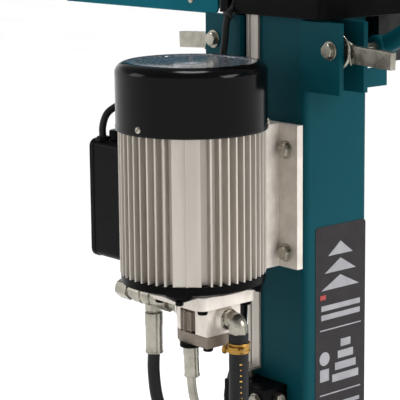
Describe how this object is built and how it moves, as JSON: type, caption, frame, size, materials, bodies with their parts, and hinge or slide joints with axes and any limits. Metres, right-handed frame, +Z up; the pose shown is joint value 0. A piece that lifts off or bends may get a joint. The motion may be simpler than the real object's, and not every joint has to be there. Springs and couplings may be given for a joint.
{
  "type": "log splitter",
  "caption": "Vertical electric hydraulic log splitter: steel column with inner ram, wedge carriage, two-hand control arms, rear motor with gear pump and hoses, log platform and wheels.",
  "frame": {"origin": "on the floor under the column axis, at the underside of the base plate", "axes": "+Z up; -Y is the operator and wedge side; +Y is the motor side; +X is the machine right seen by the operator"},
  "size_m": [1.08, 0.624, 1.236],
  "materials": {
    "teal_paint": "satin powder coat, dark teal",
    "black_paint": "semi-gloss black enamel",
    "black_plastic": "semi-gloss moulded black plastic",
    "aluminium": "bare extruded and cast aluminium, warm light grey",
    "zinc_steel": "zinc-plated steel",
    "chrome": "ground and hard-chromed",
    "cast_iron": "grey iron, machined",
    "copper_winding": "steel core with copper windings",
    "brass": "yellow-passivated clamp",
    "tyre": "solid rubber tread",
    "hose_rubber": "matte black hose rubber",
    "green_button": "green moulded plastic",
    "red_button": "red moulded plastic"
  },
  "bodies": {
    "frame": {"base_frame": "teal_paint", "log_platform": "teal_paint", "transport_handle": "teal_paint", "column": "teal_paint", "left_pivot_bracket": "teal_paint", "right_pivot_bracket": "teal_paint", "column_cap": "black_paint", "cylinder_barrel": "black_paint", "control_housing": "black_paint", "valve_body": "black_paint", "lower_end_bell": "black_paint", "fan_cowl": "black_plastic", "terminal_box": "black_plastic", "terminal_box_lid": "black_plastic", "switch_box": "black_plastic", "motor_housing": "aluminium", "motor_foot": "aluminium", "upper_end_shield": "aluminium", "pump_body": "aluminium", "pump_flange": "aluminium", "wheel_axle": "zinc_steel", "motor_foot_bolt_left_lower": "zinc_steel", "motor_foot_bolt_left_upper": "zinc_steel", "motor_foot_bolt_right_lower": "zinc_steel", "motor_foot_bolt_right_upper": "zinc_steel", "inlet_elbow": "zinc_steel", "outlet_tee": "zinc_steel", "drain_tube": "zinc_steel", "upper_bearing": "chrome", "lower_bearing": "chrome", "cylinder_gland": "cast_iron", "pump_cover": "cast_iron", "stator_core": "copper_winding", "hose_clamp": "brass", "suction_hose": "hose_rubber", "pressure_hose": "hose_rubber", "return_hose": "hose_rubber", "motor_cable": "hose_rubber"},
    "carriage": {"carriage": "black_paint", "splitting_wedge": "black_paint", "piston_rod": "chrome", "rod_nut": "zinc_steel"},
    "left_arm": {"left_control_arm": "teal_paint", "left_control_crank": "zinc_steel", "left_pivot_bolt": "zinc_steel"},
    "right_arm": {"right_control_arm": "teal_paint", "right_control_crank": "zinc_steel", "right_pivot_bolt": "zinc_steel"},
    "control_strip": {"control_strip": "zinc_steel"},
    "valve_spool": {"valve_spool": "zinc_steel"},
    "motor_rotor": {"rotor": "cast_iron", "cooling_fan": "black_plastic", "pump_drive_gear": "cast_iron"},
    "driven_gear": {"pump_driven_gear": "cast_iron"},
    "left_wheel": {"left_wheel_rim": "black_paint", "left_tyre": "tyre"},
    "right_wheel": {"right_wheel_rim": "black_paint", "right_tyre": "tyre"},
    "start_button": {"start_button": "green_button"},
    "stop_button": {"stop_button": "red_button"}
  },
  "joints": [
    {"name": "wedge_slide", "type": "slide", "parent": "frame", "child": "carriage", "axis": [0, 0, -1], "range_m": [0, 0.485]},
    {"name": "left_arm_hinge", "type": "hinge", "parent": "frame", "child": "left_arm", "pos_m": [-0.106, 0, 0.872], "axis": [0, -1, 0], "range_deg": [0, 12], "stiffness_Nm_per_rad": 32, "springref_deg": -34.38},
    {"name": "right_arm_hinge", "type": "hinge", "parent": "frame", "child": "right_arm", "pos_m": [0.106, 0, 0.872], "axis": [0, 1, 0], "range_deg": [0, 12], "stiffness_Nm_per_rad": 32, "springref_deg": -34.38},
    {"name": "strip_slide", "type": "slide", "parent": "frame", "child": "control_strip", "axis": [0, 0, -1], "range_m": [0, 0.01]},
    {"name": "spool_slide", "type": "slide", "parent": "frame", "child": "valve_spool", "axis": [0, 0, -1], "range_m": [0, 0.01]},
    {"name": "rotor_spin", "type": "hinge", "parent": "frame", "child": "motor_rotor", "pos_m": [0, 0.192, 0.7], "axis": [0, 0, 1], "continuous": true},
    {"name": "driven_gear_spin", "type": "hinge", "parent": "frame", "child": "driven_gear", "pos_m": [0, 0.162, 0.544], "axis": [0, 0, 1], "continuous": true},
    {"name": "left_wheel_spin", "type": "hinge", "parent": "frame", "child": "left_wheel", "pos_m": [-0.205, 0.15, 0.104], "axis": [1, 0, 0], "continuous": true},
    {"name": "right_wheel_spin", "type": "hinge", "parent": "frame", "child": "right_wheel", "pos_m": [0.205, 0.15, 0.104], "axis": [1, 0, 0], "continuous": true},
    {"name": "start_press", "type": "slide", "parent": "frame", "child": "start_button", "axis": [-1, 0, 0], "range_m": [0, 0.003], "stiffness_N_per_m": 800, "springref_m": -0.001},
    {"name": "stop_press", "type": "slide", "parent": "frame", "child": "stop_button", "axis": [-1, 0, 0], "range_m": [0, 0.003], "stiffness_N_per_m": 800, "springref_m": -0.001}
  ],
  "couplings": [
    {"joint": "right_arm_hinge", "follows": "left_arm_hinge", "ratio": 1},
    {"joint": "strip_slide", "follows": "left_arm_hinge", "m_per_rad": 0.0475},
    {"joint": "spool_slide", "follows": "left_arm_hinge", "m_per_rad": 0.0475},
    {"joint": "driven_gear_spin", "follows": "rotor_spin", "ratio": -1}
  ]
}
